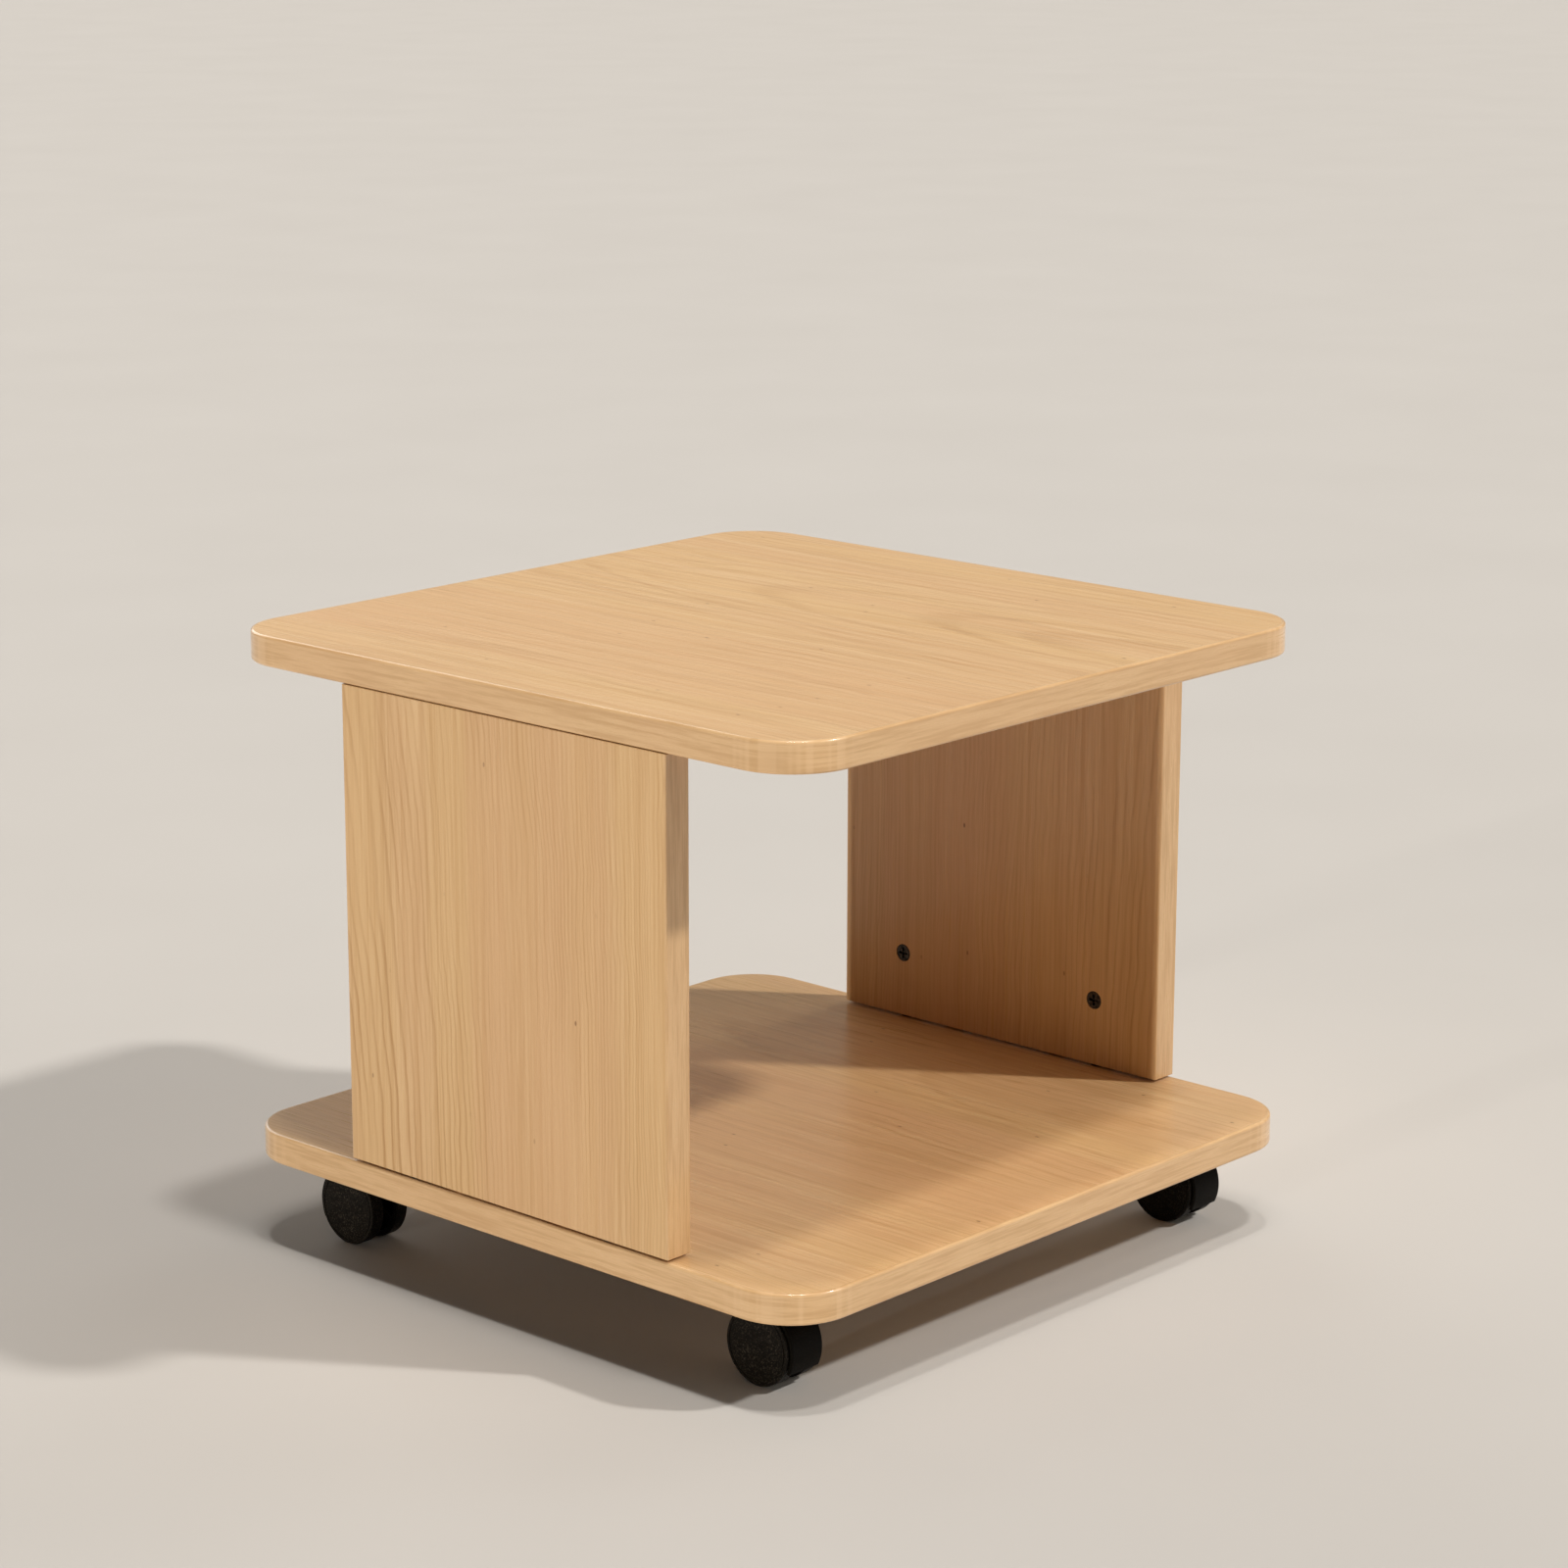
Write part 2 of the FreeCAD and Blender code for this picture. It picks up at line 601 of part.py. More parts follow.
def caster_housing():
    """The moulded hood, its central web, the kingpin socket and the axle boss."""
    hood = at_axle(sector_about_x(hood_outline(), HOOD_FRONT_ANGLE, HOOD_REAR_ANGLE))
    web = at_axle(sector_about_x(web_outline(), HOOD_FRONT_ANGLE, HOOD_REAR_ANGLE))
    boss_start = Vector(-WEB_HALF_WIDTH, 0, 0)
    boss_end = Vector(WEB_HALF_WIDTH, 0, 0)
    axle_boss = at_axle(rod(AXLE_BOSS_RADIUS, boss_start, boss_end))
    top_boss = upright_rod(TOP_BOSS_RADIUS, 0, 0, -WHEEL_RADIUS / 2, BOSS_TOP)
    body = web.fuse([hood, axle_boss, top_boss])
    cuts = []
    for side in (-1, 1):
        well_start = Vector(side * WEB_HALF_WIDTH, 0, 0)
        well_end = Vector(side * 2 * HOOD_HALF_WIDTH, 0, 0)
        cuts.append(at_axle(rod(HOOD_INNER_RADIUS, well_start, well_end)))
    bore_radius = AXLE_RADIUS + AXLE_BORE_CLEARANCE
    cuts.append(at_axle(rod(bore_radius, boss_start, boss_end)))
    cuts.append(upright_rod(KINGPIN_BORE_RADIUS, 0, 0, -KINGPIN_BORE_DEPTH, BOSS_TOP))
    seat_low = -KINGPIN_GROOVE_DEPTH_BELOW_BOARD - GRIP_RING_THICKNESS / 2
    seat_high = seat_low + GRIP_RING_THICKNESS
    cuts.append(upright_rod(GRIP_RING_SEAT_RADIUS, 0, 0, seat_low, seat_high))
    return one_solid(body.cut(cuts))


def axle():
    """The axle pin, with a snap groove near each end."""
    near = SNAP_POSITION - SNAP_GROOVE_WIDTH / 2
    far = SNAP_POSITION + SNAP_GROOVE_WIDTH / 2
    end = AXLE_HALF_LENGTH
    shoulder = AXLE_RADIUS - AXLE_END_CHAMFER
    pin = turned_about_x([
        (-end, 0),
        (-end, shoulder),
        (-end + AXLE_END_CHAMFER, AXLE_RADIUS),
        (-far, AXLE_RADIUS),
        (-far, SNAP_GROOVE_RADIUS),
        (-near, SNAP_GROOVE_RADIUS),
        (-near, AXLE_RADIUS),
        (near, AXLE_RADIUS),
        (near, SNAP_GROOVE_RADIUS),
        (far, SNAP_GROOVE_RADIUS),
        (far, AXLE_RADIUS),
        (end - AXLE_END_CHAMFER, AXLE_RADIUS),
        (end, shoulder),
        (end, 0),
    ])
    return at_axle(pin)


def arc_between(start, middle, end):
    """A circular arc edge through three (x, radius) points."""
    points = [Vector(x, 0, radius) for x, radius in (start, middle, end)]
    return Part.Arc(points[0], points[1], points[2]).toShape()


def line_between(start, end):
    """A straight edge between two (x, radius) points."""
    return Part.LineSegment(Vector(start[0], 0, start[1]), Vector(end[0], 0, end[1])).toShape()


def wheel_outline():
    """Half the cross-section of the wheel on the +X side: rim, closed outer disc and hub."""
    tread = WHEEL_RADIUS
    inner = WHEEL_INNER_FACE
    outer = WHEEL_OUTER_FACE
    rim = WHEEL_RADIUS - WHEEL_RIM_THICKNESS
    disc = WHEEL_OUTER_FACE - WHEEL_DISC_THICKNESS
    shoulder = WHEEL_SHOULDER_RADIUS
    edge = WHEEL_INNER_EDGE_RADIUS
    bend = 1 - math.sqrt(0.5)
    groove_out = WHEEL_GROOVE_RADIUS + WHEEL_GROOVE_WIDTH / 2
    groove_in = WHEEL_GROOVE_RADIUS - WHEEL_GROOVE_WIDTH / 2
    groove_floor = outer - WHEEL_GROOVE_DEPTH
    crown = outer - WHEEL_DISC_CROWN
    snap_near = SNAP_POSITION - SNAP_WIDTH / 2
    snap_far = SNAP_POSITION + SNAP_WIDTH / 2
    hub_end = WHEEL_HUB_FACE
    crown_mid = (outer - WHEEL_DISC_CROWN / 4, groove_in / 2)
    straight = [
        (crown, groove_in),
        (groove_floor - WHEEL_DISC_CROWN, groove_in),
        (groove_floor - WHEEL_DISC_CROWN, groove_out),
        (crown, groove_out),
        (crown, tread - shoulder),
    ]
    edges = [arc_between((outer, 0), crown_mid, straight[0])]
    edges += [line_between(a, b) for a, b in zip(straight, straight[1:])]
    shoulder_mid = (crown - shoulder * bend, tread - shoulder * bend)
    shoulder_end = (crown - shoulder, tread)
    edges.append(arc_between(straight[-1], shoulder_mid, shoulder_end))
    edges.append(line_between(shoulder_end, (inner + edge, tread)))
    edge_mid = (inner + edge * bend, tread - edge * bend)
    edges.append(arc_between((inner + edge, tread), edge_mid, (inner, tread - edge)))
    inside = [
        (inner, tread - edge),
        (inner, rim),
        (disc, rim),
        (disc, WHEEL_HUB_RADIUS),
        (hub_end, WHEEL_HUB_RADIUS),
        (hub_end, WHEEL_BORE_RADIUS),
        (snap_near, WHEEL_BORE_RADIUS),
        (snap_near, SNAP_RIB_RADIUS),
        (snap_far, SNAP_RIB_RADIUS),
        (snap_far, WHEEL_BORE_RADIUS),
        (disc, WHEEL_BORE_RADIUS),
        (disc, 0),
        (outer, 0),
    ]
    edges += [line_between(a, b) for a, b in zip(inside, inside[1:])]
    return edges


def wheel():
    """The +X wheel, at the axle, with ribs inside its dish."""
    body = Part.Face(Part.Wire(wheel_outline())).revolve(ORIGIN, X_AXIS, 360)
    ribs = []
    rim_middle = WHEEL_RADIUS - WHEEL_RIM_THICKNESS / 2
    hub_middle = (WHEEL_HUB_RADIUS + WHEEL_BORE_RADIUS) / 2
    half = WHEEL_RIB_THICKNESS / 2
    disc_middle = WHEEL_OUTER_FACE - WHEEL_DISC_THICKNESS / 2 - WHEEL_DISC_CROWN
    for index in range(WHEEL_RIB_COUNT):
        rib = block((WHEEL_RIB_INNER_FACE, disc_middle), (-half, half), (hub_middle, rim_middle))
        rib.rotate(ORIGIN, X_AXIS, index * 360 / WHEEL_RIB_COUNT)
        ribs.append(rib)
    return at_axle(one_solid(body.fuse(ribs)))


def opposite_wheel():
    """The -X wheel: the +X wheel mirrored across the web."""
    return wheel().mirror(ORIGIN, X_AXIS)


def at_corner(shape, side, end):
    """Put a caster piece under a corner; the back casters trail forwards, the front ones back."""
    placed = shape.copy()
    if end > 0:
        placed.rotate(ORIGIN, Z_AXIS, 180)
    placed.translate(Vector(side * CASTER_X, CASTER_Y[end], CASTER_HEIGHT))
    return placed


# ---- Build and write every node -------------------------------------------------------------
def write_carcass():
    """The boards, the panels, their edge bands and their fittings."""
    top_holes = board_fitting_holes(UNDER_TOP_BOARD, -1)
    bottom_holes = board_fitting_holes(TOP_OF_BOTTOM_BOARD, 1) + pilot_holes()
    export("top_board", make_board(UNDER_TOP_BOARD, top_holes))
    export("bottom_board", make_board(CASTER_HEIGHT, bottom_holes))
    export("top_board_edge_band", make_board_edge_band(UNDER_TOP_BOARD))
    export("bottom_board_edge_band", make_board_edge_band(CASTER_HEIGHT))
    for name, side in SIDES:
        export(name + "_panel", make_panel(side))
        export(name + "_panel_edge_bands", make_panel_edge_bands(side))
        export(name + "_panel_cam_locks", cam_locks(side))
        export(name + "_panel_cam_bolts", fittings(cam_bolt, side, CAM_ROWS))
        export(name + "_panel_bolt_inserts", fittings(bolt_insert, side, CAM_ROWS))
        export(name + "_panel_dowels", fittings(dowel, side, DOWEL_ROWS))


def write_casters():
    """Every piece of the four casters, under its corner."""
    pieces = {
        "plate": caster_plate(),
        "plate_screws": plate_screws(),
        "kingpin": kingpin(),
        "grip_ring": grip_ring(),
        "thrust_washer": thrust_washer(),
        "housing": caster_housing(),
        "axle": axle(),
    }
    wheels = {1: wheel(), -1: opposite_wheel()}
    for corner, side, end in CORNERS:
        for piece, shape in pieces.items():
            export("caster_" + corner + "_" + piece, at_corner(shape, side, end))
        for name, wheel_side in SIDES:
            shape = wheels[wheel_side * (-end)]
            export("caster_" + corner + "_wheel_" + name, at_corner(shape, side, end))


os.makedirs("parts", exist_ok=True)
write_carcass()
write_casters()
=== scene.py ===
import bpy
import json
import math
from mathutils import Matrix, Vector

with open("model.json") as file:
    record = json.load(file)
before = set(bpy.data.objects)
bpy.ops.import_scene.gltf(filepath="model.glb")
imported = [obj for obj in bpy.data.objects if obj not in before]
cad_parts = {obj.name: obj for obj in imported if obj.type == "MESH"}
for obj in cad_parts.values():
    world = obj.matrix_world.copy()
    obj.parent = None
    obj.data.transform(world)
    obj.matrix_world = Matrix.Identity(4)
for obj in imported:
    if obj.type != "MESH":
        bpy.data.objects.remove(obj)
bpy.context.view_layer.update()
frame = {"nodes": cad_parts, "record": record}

MM = 0.001

# Colours are linear red, green and blue.
WOOD_LIGHT = (0.735, 0.490, 0.255)
WOOD_MIDDLE = (0.600, 0.365, 0.170)
WOOD_LINE = (0.400, 0.200, 0.064)
WOOD_ROSY = (0.640, 0.380, 0.195)
WOOD_GOLD = (0.680, 0.440, 0.195)
KNOT_BROWN = (0.200, 0.090, 0.035)
BAND_LIGHT = (0.705, 0.460, 0.235)
BAND_DARK = (0.590, 0.362, 0.168)
BAND_MARK = (0.760, 0.510, 0.280)
BEECH_LIGHT = (0.620, 0.430, 0.250)
BEECH_DARK = (0.450, 0.280, 0.140)
BLACK_NYLON = ((0.0200, 0.0200, 0.0200), (0.0500, 0.0500, 0.0500))
WHEEL_NYLON = ((0.0040, 0.0031, 0.0021), (0.0520, 0.0420, 0.0300))
HOOD_NYLON = ((0.0024, 0.0018, 0.0012), (0.0130, 0.0104, 0.0070))
BLACK_ZINC = ((0.035, 0.032, 0.030), (0.110, 0.100, 0.090))
BLACK_COAT = ((0.018, 0.018, 0.019), (0.035, 0.034, 0.033))
ZINC_PLATE = ((0.620, 0.620, 0.630), (0.480, 0.470, 0.440))
SCREW_ZINC = ((0.500, 0.500, 0.500), (0.360, 0.350, 0.330))
PLAIN_STEEL = ((0.550, 0.550, 0.560), (0.400, 0.390, 0.380))
FLOOR_COLORS = ((0.500, 0.478, 0.450), (0.530, 0.508, 0.480))
LAMP_WHITE = (1.0, 0.97, 0.93)

# Grain runs front to back on the boards and upright on the panels. Each row gives the node, the
# axis along the grain, the axis across it, where the heart of the figure lies across the grain
# (mm), where its arches open from (mm along the grain), the growth lines' spacing 100 mm from the
# heart (mm), how dark and how feathered they are, the two edges of its rosier middle (mm across),
# and a seed for the noise.
LAMINATES = (
    ("top_board", "Y", "X", 70.0, -640.0, 7.5, 0.46, 0.65, (-150.0, -40.0), 11.0),
    ("bottom_board", "Y", "X", 110.0, -520.0, 7.0, 0.46, 0.65, (-60.0, 60.0), 23.0),
    ("left_panel", "Z", "Y", 150.0, -300.0, 4.4, 0.70, 0.12, (-76.0, 18.0), 37.0),
    ("right_panel", "Z", "Y", -170.0, -300.0, 4.4, 0.48, 0.30, (-10.0, 80.0), 53.0),
)

# Each row gives the node, its material's name, the axes that its length lies along, and a seed.
EDGE_BANDS = (
    ("top_board_edge_band", "top_board_band", "XY", 3.0),
    ("bottom_board_edge_band", "bottom_board_band", "XY", 8.0),
    ("left_panel_edge_bands", "left_panel_band", "Z", 13.0),
    ("right_panel_edge_bands", "right_panel_band", "Z", 19.0),
)

# The lines crowd together away from the heart: their count grows with this power of the distance.
CROWDING = 1.7
CROWDING_UNIT = 100.0
# The arches are drawn out: a step along the grain counts this much of a step across it.
ARCH_SLOPE = 0.11

# Scales of the noise on the laminate, per mm across the grain and per mm along it.
DRIFT_SCALES = (0.012, 0.0045)
WOBBLE_SCALES = (0.035, 0.026)
CROWD_SCALES = (0.045, 0.0012)
NUMBER_SCALES = (0.73, 0.004)
FIBRE_SCALES = (1.0, 0.010)
FADE_SCALES = (0.018, 0.007)
BREAK_SCALES = (0.9, 0.030)
STREAK_SCALES = (0.24, 0.006)
HUE_SCALES = (0.022, 0.0012)
KNOT_SCALES = (1.0, 0.5)

# How far the drift and the wobble carry the lines (mm), and the crowding them (in lines).
DRIFT_REACH = 18.0
WOBBLE_REACH = 5.0
CROWD_REACH = 3.4

# Knots: cells per mm, how far the seed shifts the cells (mm), and a knot's two radii (in cells).
KNOT_CELLS = 0.032
KNOT_SHIFT = 9.0
KNOT_RADII = (0.012, 0.028)

# Edge bands: streaks per mm along and across the band, and where its corners begin and are full
# (mm from the board's middle planes).
BAND_ALONG = 0.014
BAND_ACROSS = 0.34
BAND_CLOUD = 0.012
CORNER_MARKS = 0.15
CORNER_EDGES = (148.0, 172.0)

# Depths of the surface relief, in metres.
LAMINATE_RELIEF = 0.00006
BAND_RELIEF = 0.00004
DOWEL_RELIEF = 0.00015
METAL_RELIEF = 0.00004

# Distant lamps: name, level direction to it, its elevation, the light it gives a face square to
# it, its spread (degrees), its colour, and whether it shows in highlights. The low lamps from
# either side do not, since they would burn out the tops seen from across.
LAMPS = (
    ("main_front_right", (0.55, -0.84), 42.0, 0.63, 3.0, LAMP_WHITE, True),
    ("low_left", (-1.0, 0.0), 3.0, 0.61, 1.5, (1.0, 0.955, 0.90), False),
    ("fill_front", (0.35, -0.94), 22.0, 0.13, 40.0, (1.0, 0.90, 0.78), True),
    ("fill_right", (1.0, 0.0), 12.0, 0.45, 40.0, LAMP_WHITE, False),
    ("fill_behind", (0.3, 1.0), 25.0, 0.22, 40.0, LAMP_WHITE, True),
    ("overhead", (-0.74, -0.67), 88.0, 0.27, 5.0, LAMP_WHITE, True),
    ("overhead_front", (0.0, -1.0), 76.0, 0.32, 5.0, LAMP_WHITE, True),
    ("sheen", (0.74, 0.67), 20.0, 0.045, 40.0, (1.0, 0.86, 0.66), True),
)
WORLD_COLOR = (1.0, 0.97, 0.94, 1.0)
WORLD_STRENGTH = 0.04

FLOOR_SIZE = 80.0
FLOOR_ROUGHNESS = 0.8
FLOOR_CLOUD = 0.004

CAMERA_PLACE = (-1.5596, -1.4320, 0.7638)
CAMERA_HEADING = 47.61
CAMERA_TILT_DOWN = 13.79
CAMERA_ROLL = -0.1
CAMERA_LENS = 95.64
CAMERA_SENSOR = 36.0


# ---- Node helpers ---------------------------------------------------------------------------
class Graph:
    """A material's node tree, with a short call for each kind of node that is used here."""

    def __init__(self, name):
        self.material = bpy.data.materials.new(name)
        self.material.use_nodes = True
        self.tree = self.material.node_tree
        self.shader = self.tree.nodes["Principled BSDF"]

    def put(self, socket, value):
        """Link a socket to another node's output, or set it to a constant."""
        if isinstance(value, bpy.types.NodeSocket):
            self.tree.links.new(value, socket)
        else:
            socket.default_value = value

    def position(self):
        """The object's own coordinates in millimetres: an output for each axis letter."""
        coordinates = self.tree.nodes.new("ShaderNodeTexCoord").outputs["Object"]
        scaled = self.tree.nodes.new("ShaderNodeVectorMath")
        scaled.operation = "SCALE"
        self.put(scaled.inputs[0], coordinates)
        scaled.inputs["Scale"].default_value = 1 / MM
        parts = self.tree.nodes.new("ShaderNodeSeparateXYZ")
        self.put(parts.inputs[0], scaled.outputs[0])
        return dict(zip("XYZ", parts.outputs))

    def math(self, operation, a, b=0.0):
        """One sum on two values."""
        node = self.tree.nodes.new("ShaderNodeMath")
        node.operation = operation
        self.put(node.inputs[0], a)
        self.put(node.inputs[1], b)
        return node.outputs[0]

    def plus(self, a, b):
        """a + b."""
        return self.math("ADD", a, b)

    def minus(self, a, b):
        """a - b."""
        return self.math("SUBTRACT", a, b)

    def times(self, a, b):
        """a * b."""
        return self.math("MULTIPLY", a, b)

    def vector(self, x, y, z):
        """A vector from three values."""
        node = self.tree.nodes.new("ShaderNodeCombineXYZ")
        for socket, value in zip(node.inputs, (x, y, z)):
            self.put(socket, value)
        return node.outputs[0]

    def on_face(self, across, along, scales, seed):
        """Where to read a noise on a face, with its own scale across the grain and along it."""
        return self.vector(self.times(across, scales[0]), self.times(along, scales[1]), seed)

    def noise(self, vector, scale=1.0, detail=2.0, roughness=0.5):
        """Smooth noise from 0 to 1."""
        node = self.tree.nodes.new("ShaderNodeTexNoise")
        self.put(node.inputs["Vector"], vector)
        node.inputs["Scale"].default_value = scale
        node.inputs["Detail"].default_value = detail
        node.inputs["Roughness"].default_value = roughness
        return node.outputs[0]

    def swing(self, vector, reach):
        """Smooth noise about zero, over a span of reach."""
        return self.times(self.minus(self.noise(vector), 0.5), reach)

    def cells(self, vector, scale):
        """Distance to the nearest cell point over a flat vector, and that cell's random colour."""
        node = self.tree.nodes.new("ShaderNodeTexVoronoi")
        node.voronoi_dimensions = "2D"
        self.put(node.inputs["Vector"], vector)
        node.inputs["Scale"].default_value = scale
        return node.outputs["Distance"], node.outputs["Color"]

    def step(self, value, low, high, out_low=0.0, out_high=1.0):
        """A smooth step from out_low to out_high as value goes from low to high."""
        node = self.tree.nodes.new("ShaderNodeMapRange")
        node.interpolation_type = "SMOOTHSTEP"
        self.put(node.inputs["Value"], value)
        node.inputs["From Min"].default_value = low
        node.inputs["From Max"].default_value = high
        node.inputs["To Min"].default_value = out_low
        node.inputs["To Max"].default_value = out_high
        return node.outputs[0]

    def mix(self, factor, a, b):
        """Colour a turning to colour b with factor. Each is a plain colour or another node's output."""
        node = self.tree.nodes.new("ShaderNodeMix")
        node.data_type = "RGBA"
        self.put(node.inputs["Factor"], factor)
        for socket, value in zip((node.inputs[6], node.inputs[7]), (a, b)):
            self.put(socket, value if isinstance(value, bpy.types.NodeSocket) else (*value, 1.0))
        return node.outputs[2]

    def bump(self, height, distance, strength):
        """Surface relief from a height."""
        node = self.tree.nodes.new("ShaderNodeBump")
        node.inputs["Strength"].default_value = strength
        node.inputs["Distance"].default_value = distance
        self.put(node.inputs["Height"], height)
        self.put(self.shader.inputs["Normal"], node.outputs[0])

    def finish(self, color, roughness, **constants):
        """Put in colour and roughness, and set the other named shader inputs to constants."""
        self.put(self.shader.inputs["Base Color"], color)
        self.put(self.shader.inputs["Roughness"], roughness)
        for name, value in constants.items():
            self.shader.inputs[name.replace("_", " ")].default_value = value
        return self.material


# ---- Wood -----------------------------------------------------------------------------------
def growth_lines(g, radius, along, spacing, seed):
    """Dark lines of uneven spacing and strength, each soft on one side and sharp on the other."""
    crowd = g.swing(g.on_face(radius, along, CROWD_SCALES, seed), CROWD_REACH)
    count = g.math("POWER", g.math("DIVIDE", radius, CROWDING_UNIT), CROWDING)
    phase = g.plus(g.times(count, CROWDING_UNIT / (CROWDING * spacing)), crowd)
    part = g.math("FRACT", phase)
    rise = g.step(part, 0.50, 0.85)
    fall = g.step(part, 0.87, 1.0, 1.0, 0.0)
    number_at = g.on_face(g.math("FLOOR", phase), along, NUMBER_SCALES, seed + 5.0)
    strength = g.step(g.noise(number_at), 0.34, 0.62, 0.38, 1.0)
    return g.times(g.times(rise, fall), strength)


def line_weight(g, radius, across, along, feather, seed):
    """How plain the growth lines are: broken into fibres where feathered, and bolder by the heart."""
    fade_at = g.on_face(across, along, FADE_SCALES, seed + 9.0)
    fade = g.step(g.noise(fade_at, detail=1.0), 0.36, 0.62, 0.30, 1.0)
    broken_at = g.on_face(across, along, BREAK_SCALES, seed + 7.0)
    broken = g.step(g.noise(broken_at, roughness=0.6), 0.40, 0.60, 1.0 - feather, 1.0)
    bold = g.step(radius, 70.0, 165.0, 1.0, 0.62)
    return g.times(fade, g.times(broken, bold))


def pin_knots(g, across, along, seed):
    """A few pin knots, drawn out along the grain, each in a random cell."""
    shifted = g.plus(across, KNOT_SHIFT * seed)
    distance, lottery = g.cells(g.on_face(shifted, along, KNOT_SCALES, 0.0), KNOT_CELLS)
    drawn = g.step(lottery, 0.50, 0.85, 0.0, 0.85)
    return g.times(g.step(distance, *KNOT_RADII, 1.0, 0.0), drawn)


def laminate(name, along_axis, across_axis, heart, opening, spacing, darkness, feather, middle, seed):
    """Maple-pattern laminate: growth lines round a heart, fine fibres, soft bands, pin knots."""
    g = Graph(name)
    place = g.position()
    along = place[along_axis]
    across = place[across_axis]

    # A slow drift and a quicker wobble keep the growth lines from being ruler-straight.
    drift = g.swing(g.on_face(across, along, DRIFT_SCALES, seed), DRIFT_REACH)
    wobble = g.swing(g.on_face(across, along, WOBBLE_SCALES, seed + 2.0), WOBBLE_REACH)
    side = g.minus(g.plus(across, g.plus(drift, wobble)), heart)
    depth = g.times(g.minus(along, opening), ARCH_SLOPE)
    radius = g.math("SQRT", g.plus(g.math("POWER", side, 2.0), g.math("POWER", depth, 2.0)))
    weight = line_weight(g, radius, across, along, feather, seed)
    lines = g.times(growth_lines(g, radius, along, spacing, seed + 3.0), weight)

    # Fine, long fibres, and streaks a few millimetres wide, as plain as the lines are feathered.
    fibres = g.noise(g.on_face(across, along, FIBRE_SCALES, seed + 6.0), 0.55, 4.0, 0.78)
    streak_at = g.on_face(side, along, STREAK_SCALES, seed + 4.0)
    streaks = g.step(g.noise(streak_at, 1.0, 3.0, 0.6), 0.42, 0.66, 0.0, 0.42 * feather)

    # Broad soft bands of hue across the width, and a rosier middle between two soft edges.
    bands = g.noise(g.on_face(side, along, HUE_SCALES, seed + 1.0))
    bent = g.plus(across, g.times(drift, 0.5))
    past_first_edge = g.step(bent, middle[0] - 6.0, middle[0] + 2.0)
    before_second_edge = g.step(bent, middle[1] - 2.0, middle[1] + 3.0, 1.0, 0.0)
    inside = g.times(past_first_edge, before_second_edge)

    color = g.mix(g.step(fibres, 0.32, 0.68), WOOD_LIGHT, WOOD_MIDDLE)
    color = g.mix(g.step(bands, 0.51, 0.58, 0.0, 0.22), color, WOOD_ROSY)
    color = g.mix(g.step(bands, 0.50, 0.42, 0.0, 0.28), color, WOOD_GOLD)
    color = g.mix(g.times(inside, 0.34), color, WOOD_ROSY)
    color = g.mix(streaks, color, WOOD_LINE)
    color = g.mix(g.times(lines, darkness), color, WOOD_LINE)
    color = g.mix(pin_knots(g, across, along, seed), color, KNOT_BROWN)

    roughness = g.step(fibres, 0.34, 0.66, 0.25, 0.42)
    g.bump(g.minus(fibres, g.times(lines, 0.6)), LAMINATE_RELIEF, 0.5)
    return g.finish(color, roughness, IOR=1.5, Coat_Weight=0.12, Coat_Roughness=0.12)


def corner_chatter(g, place, seed):
    """Pale upright marks that the edge bander leaves where the band bends round a corner."""
    mark_at = g.on_face(place["X"], place["Y"], (CORNER_MARKS, CORNER_MARKS), seed)
    marks = g.step(g.noise(mark_at, detail=1.0), 0.46, 0.58, 0.0, 0.45)
    nearer = g.math("MINIMUM", g.math("ABSOLUTE", place["X"]), g.math("ABSOLUTE", place["Y"]))
    return g.times(marks, g.step(nearer, *CORNER_EDGES))


def edge_band(name, lengthwise, seed):
    """Wood-pattern edge band with faint streaks along its length, which lies on these axes."""
    g = Graph(name)
    place = g.position()
    stretched = []
    clouded = []
    for letter in "XYZ":
        scale = BAND_ALONG if letter in lengthwise else BAND_ACROSS
        stretched.append(g.times(place[letter], scale))
        clouded.append(g.times(place[letter], BAND_CLOUD))
    streaks = g.noise(g.vector(*stretched), 1.3 + seed * 0.013, 4.0, 0.66)
    cloud = g.noise(g.vector(*clouded))
    color = g.mix(g.step(streaks, 0.40, 0.64), BAND_LIGHT, BAND_DARK)
    color = g.mix(g.step(cloud, 0.45, 0.62, 0.0, 0.15), color, WOOD_ROSY)
    if lengthwise == "XY":
        color = g.mix(corner_chatter(g, place, seed), color, BAND_MARK)
    roughness = g.step(streaks, 0.30, 0.70, 0.26, 0.36)
    g.bump(streaks, BAND_RELIEF, 0.4)
    return g.finish(color, roughness, IOR=1.5, Coat_Weight=0.6, Coat_Roughness=0.10)


def dowel_wood():
    """Plain beech with short flecks."""
    g = Graph("dowel_beech")
    place = g.position()
    fleck_at = g.vector(place["X"], place["Y"], g.times(place["Z"], 0.12))
    flecks = g.noise(fleck_at, 1.4, 3.0, 0.6)
    color = g.mix(g.step(flecks, 0.35, 0.68), BEECH_LIGHT, BEECH_DARK)
    g.bump(flecks, DOWEL_RELIEF, 0.6)
    return g.finish(color, g.step(flecks, 0.3, 0.7, 0.5, 0.65))


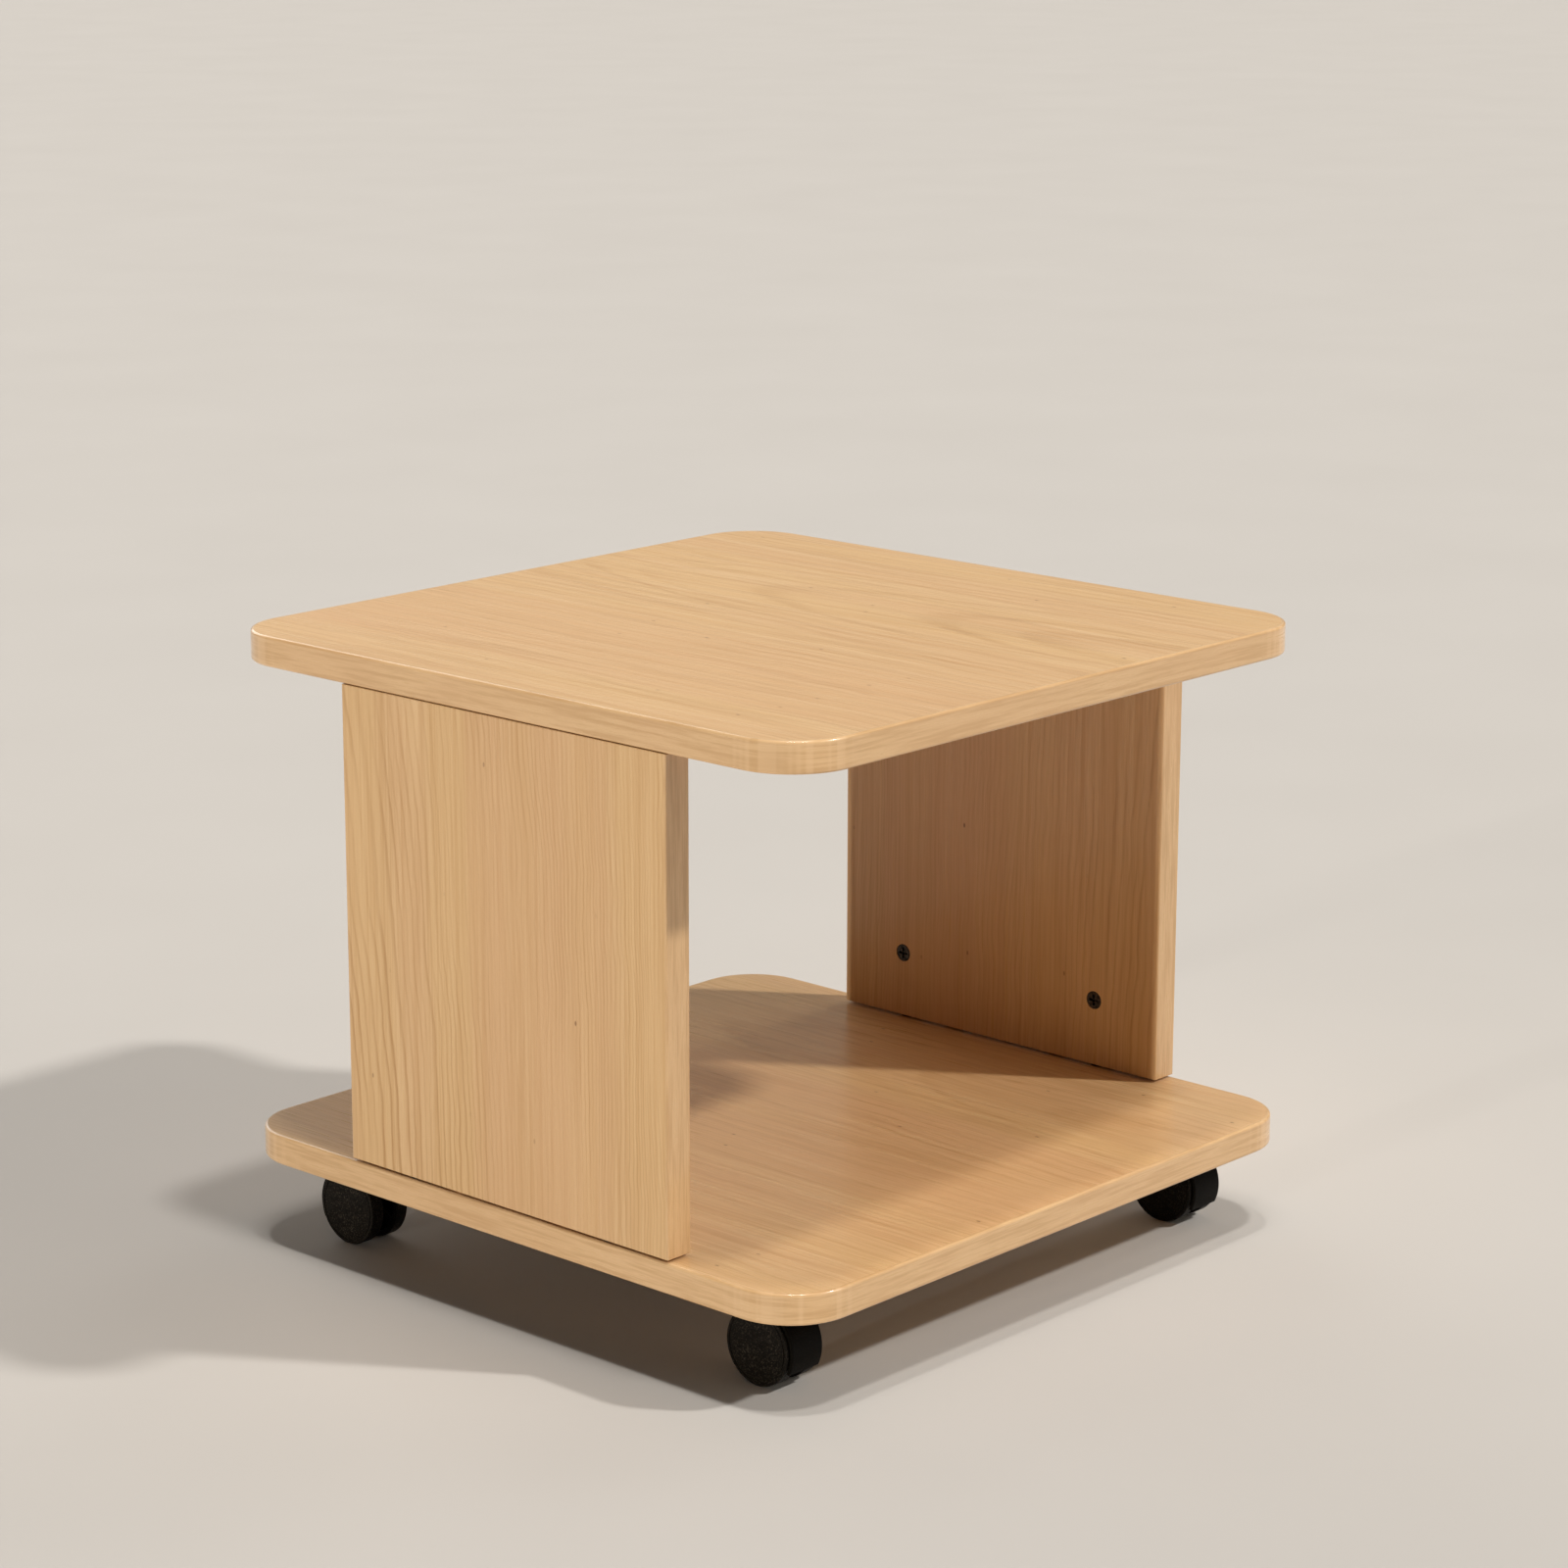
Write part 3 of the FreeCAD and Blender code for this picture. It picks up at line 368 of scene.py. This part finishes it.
# ---- Plastics and metals --------------------------------------------------------------------
def spark_nylon(name, colors, grain, relief, rough, specular=0.12):
    """Moulded nylon with a fine spark-eroded texture, from a dark colour to a light one."""
    g = Graph(name)
    dark, light = colors
    here = g.vector(*g.position().values())
    stipple = g.noise(here, grain, 3.0, 0.65)
    cloud = g.noise(here, 0.09)
    color = g.mix(g.step(stipple, 0.52, 0.68), dark, light)
    color = g.mix(g.step(cloud, 0.40, 0.65, 0.0, 0.4), color, dark)
    roughness = g.step(stipple, 0.3, 0.7, rough + 0.1, rough - 0.06)
    g.bump(stipple, relief, 0.8)
    return g.finish(color, roughness, IOR=1.53, Specular_IOR_Level=specular)


def turned_metal(name, colors, rough, metallic=1.0):
    """Machined or plated metal with fine scratches, mottled between a base and a worn colour."""
    g = Graph(name)
    place = g.position()
    mottle = g.noise(g.vector(*place.values()), 0.55, 3.0, 0.6)
    scratch_at = g.vector(place["X"], place["Y"], g.times(place["Z"], 9.0))
    scratches = g.noise(scratch_at, 2.2, roughness=0.6)
    color = g.mix(g.step(mottle, 0.38, 0.66), *colors)
    roughness = g.step(scratches, 0.3, 0.7, rough - 0.06, rough + 0.08)
    g.bump(scratches, METAL_RELIEF, 0.5)
    return g.finish(color, roughness, Metallic=metallic)


# ---- The finish of every node ---------------------------------------------------------------
def finishes():
    """The material of each slot whose nodes all look alike."""
    return {
        "cam_metal": turned_metal("cam_black_zinc", BLACK_ZINC, 0.34),
        "bolt_steel": turned_metal("bolt_zinc_plate", ZINC_PLATE, 0.28),
        "insert_nylon": spark_nylon("insert_nylon", BLACK_NYLON, 1.5, 0.0001, 0.5),
        "dowel_wood": dowel_wood(),
        "caster_plate_steel": turned_metal("plate_black_coat", BLACK_COAT, 0.42, 0.6),
        "screw_steel": turned_metal("screw_zinc", SCREW_ZINC, 0.34),
        "pin_steel": turned_metal("pin_steel", PLAIN_STEEL, 0.26),
        "washer_nylon": spark_nylon("washer_nylon", BLACK_NYLON, 2.0, 0.00005, 0.45),
        "caster_housing": spark_nylon("housing_nylon", HOOD_NYLON, 1.9, 0.00010, 0.46, 0.06),
        "caster_wheel": spark_nylon("wheel_nylon", WHEEL_NYLON, 1.3, 0.00014, 0.50),
    }


def paint(node, material):
    """Give a CAD node one material."""
    slots = frame["nodes"][node].data.materials
    slots.clear()
    slots.append(material)


def paint_all():
    """Every CAD node keeps its shape and gets its material."""
    for node, *settings in LAMINATES:
        paint(node, laminate(node + "_laminate", *settings))
    for node, *settings in EDGE_BANDS:
        paint(node, edge_band(*settings))
    shared = finishes()
    for part in frame["record"]["subparts"]:
        material = shared.get(part["material_slot"])
        if material:
            paint(part["node"], material)


# ---- Floor, light and camera ----------------------------------------------------------------
def make_floor():
    """A plain pale floor."""
    bpy.ops.mesh.primitive_plane_add(size=FLOOR_SIZE, location=(0, 0, 0))
    floor = bpy.context.object
    floor.name = "studio_floor"
    g = Graph("floor_pale")
    place = g.position()
    cloud = g.noise(g.vector(place["X"], place["Y"], 0.0), FLOOR_CLOUD)
    color = g.mix(cloud, *FLOOR_COLORS)
    floor.data.materials.append(g.finish(color, FLOOR_ROUGHNESS, Specular_IOR_Level=0.1))


def make_lamp(name, toward, elevation, level, spread, color, in_highlights):
    """One distant lamp, shining from its level direction at its elevation."""
    rise = math.radians(elevation)
    flat = Vector((*toward, 0.0)).normalized() * math.cos(rise)
    data = bpy.data.lights.new(name, "SUN")
    data.energy = level * math.pi
    data.angle = math.radians(spread)
    data.color = color
    lamp = bpy.data.objects.new(name, data)
    lamp.visible_glossy = in_highlights
    to_lamp = flat + Vector((0, 0, math.sin(rise)))
    lamp.rotation_euler = to_lamp.to_track_quat("Z", "Y").to_euler()
    bpy.context.collection.objects.link(lamp)


def make_light():
    """Soft studio light: the lamps, and a faint even light from all round."""
    for lamp in LAMPS:
        make_lamp(*lamp)
    world = bpy.data.worlds.new("studio")
    world.use_nodes = True
    background = world.node_tree.nodes["Background"]
    background.inputs["Color"].default_value = WORLD_COLOR
    background.inputs["Strength"].default_value = WORLD_STRENGTH
    bpy.context.scene.world = world


def make_camera():
    """Front left, a little above the top board."""
    data = bpy.data.cameras.new("photo_view")
    data.sensor_width = CAMERA_SENSOR
    data.lens = CAMERA_LENS
    camera = bpy.data.objects.new("photo_view", data)
    camera.location = CAMERA_PLACE
    tilt_up = math.pi / 2 - math.radians(CAMERA_TILT_DOWN)
    roll = math.radians(CAMERA_ROLL)
    turn = -math.radians(CAMERA_HEADING)
    camera.rotation_euler = (tilt_up, roll, turn)
    bpy.context.collection.objects.link(camera)
    bpy.context.scene.camera = camera


paint_all()
make_floor()
make_light()
make_camera()
bpy.context.scene.view_settings.view_transform = "Standard"
